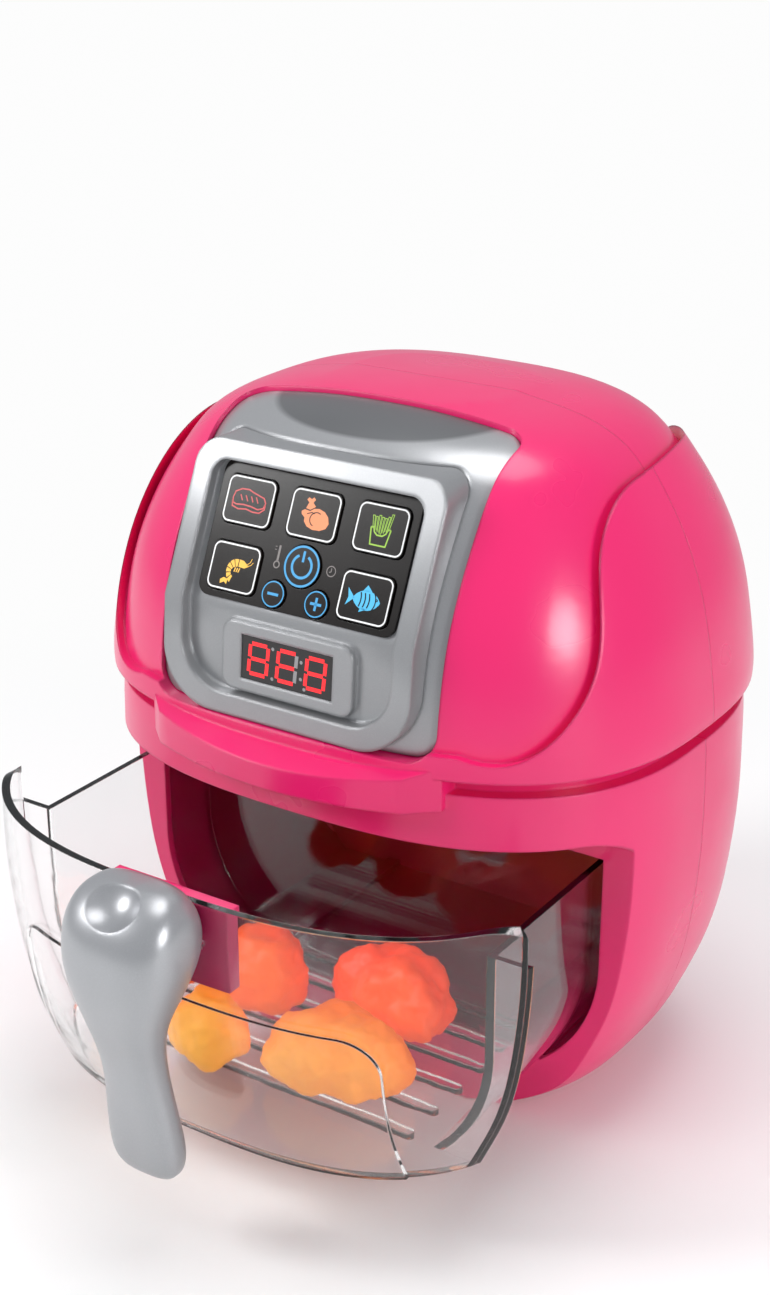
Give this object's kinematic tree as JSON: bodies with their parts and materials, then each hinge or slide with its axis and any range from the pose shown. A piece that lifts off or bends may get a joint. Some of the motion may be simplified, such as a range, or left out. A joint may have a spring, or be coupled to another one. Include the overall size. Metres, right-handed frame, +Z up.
{
  "type": "toy air fryer",
  "caption": "Egg-shaped play air fryer with a pull-out clear food drawer, sloped keypad with lit display, and a battery door at the back.",
  "frame": {"origin": "centre of the flat base, on the surface it stands on", "axes": "+Z up, -Y towards the drawer and keypad, +X to the right as one faces the keypad"},
  "size_m": [0.1551, 0.196, 0.1768],
  "materials": {
    "pink_shell": "satin gloss injection moulding",
    "bay_plastic": "dark magenta moulding",
    "silver_paint": "satin silver paint on plastic",
    "overlay_black": "printed black film",
    "key_black": "printed black caps",
    "smoke_clear": "clear smoky polystyrene",
    "display_dark": "dark red filter",
    "module_white": "moulded",
    "board_green": "circuit board",
    "lens_red": "clear red",
    "diode_red": "clear red epoxy",
    "case_black": "fine texture",
    "cell_wrap": "printed sleeve",
    "contact_steel": "nickel-plated spring steel",
    "screw_steel": "zinc-plated",
    "food_orange": "soft matte moulding"
  },
  "bodies": {
    "housing": {"front_shell": "pink_shell", "rear_shell": "pink_shell", "base_plate": "pink_shell", "bay_liner": "bay_plastic", "panel_plate": "silver_paint", "keypad_frame": "silver_paint", "keypad_overlay": "overlay_black", "keypad_board": "board_green", "speaker": "case_black", "display_window": "display_dark", "display_module": "module_white", "display_board": "board_green", "lamp_lens": "lens_red", "lamp_diode": "diode_red", "lamp_board": "board_green", "battery_case": "case_black", "battery_cells": "cell_wrap", "battery_contacts": "contact_steel", "shell_screws": "screw_steel", "power_switch_can": "contact_steel", "key_switches": "case_black"},
    "drawer": {"drawer_front": "smoke_clear", "drawer_tub": "smoke_clear", "handle_grip": "silver_paint", "handle_cover": "silver_paint", "handle_bracket": "pink_shell", "handle_screws": "screw_steel", "food_lump_1": "food_orange", "food_lump_2": "food_orange", "food_lump_3": "food_orange", "food_lump_4": "food_orange", "food_lump_5": "food_orange", "food_lump_6": "food_orange"},
    "battery_door": {"battery_door": "pink_shell", "battery_door_screw": "screw_steel"},
    "power_switch_knob": {"power_switch_knob": "case_black"},
    "key_steak": {"key_steak": "key_black"},
    "key_chicken": {"key_chicken": "key_black"},
    "key_fries": {"key_fries": "key_black"},
    "key_shrimp": {"key_shrimp": "key_black"},
    "key_fish": {"key_fish": "key_black"},
    "key_power": {"key_power": "key_black"},
    "key_minus": {"key_minus": "key_black"},
    "key_plus": {"key_plus": "key_black"}
  },
  "joints": [
    {"name": "drawer_slide", "type": "slide", "parent": "housing", "child": "drawer", "axis": [0, 1, 0], "range_m": [-0.008, 0.04515]},
    {"name": "battery_door_hinge", "type": "hinge", "parent": "housing", "child": "battery_door", "pos_m": [0, 0.0602, 0.044], "axis": [-1, 0, 0], "range_deg": [0, 75]},
    {"name": "power_switch_slide", "type": "slide", "parent": "housing", "child": "power_switch_knob", "axis": [1, 0, 0], "range_m": [0, 0.003]},
    {"name": "key_steak_press", "type": "slide", "parent": "housing", "child": "key_steak", "axis": [0, 0.9092, -0.4163], "range_m": [0, 0.0008], "stiffness_N_per_m": 300, "springref_m": -0.0006},
    {"name": "key_chicken_press", "type": "slide", "parent": "housing", "child": "key_chicken", "axis": [0, 0.9092, -0.4163], "range_m": [0, 0.0008], "stiffness_N_per_m": 300, "springref_m": -0.0006},
    {"name": "key_fries_press", "type": "slide", "parent": "housing", "child": "key_fries", "axis": [0, 0.9092, -0.4163], "range_m": [0, 0.0008], "stiffness_N_per_m": 300, "springref_m": -0.0006},
    {"name": "key_shrimp_press", "type": "slide", "parent": "housing", "child": "key_shrimp", "axis": [0, 0.9092, -0.4163], "range_m": [0, 0.0008], "stiffness_N_per_m": 300, "springref_m": -0.0006},
    {"name": "key_fish_press", "type": "slide", "parent": "housing", "child": "key_fish", "axis": [0, 0.9092, -0.4163], "range_m": [0, 0.0008], "stiffness_N_per_m": 300, "springref_m": -0.0006},
    {"name": "key_power_press", "type": "slide", "parent": "housing", "child": "key_power", "axis": [0, 0.9092, -0.4163], "range_m": [0, 0.0008], "stiffness_N_per_m": 300, "springref_m": -0.0006},
    {"name": "key_minus_press", "type": "slide", "parent": "housing", "child": "key_minus", "axis": [0, 0.9092, -0.4163], "range_m": [0, 0.0008], "stiffness_N_per_m": 300, "springref_m": -0.0006},
    {"name": "key_plus_press", "type": "slide", "parent": "housing", "child": "key_plus", "axis": [0, 0.9092, -0.4163], "range_m": [0, 0.0008], "stiffness_N_per_m": 300, "springref_m": -0.0006}
  ]
}
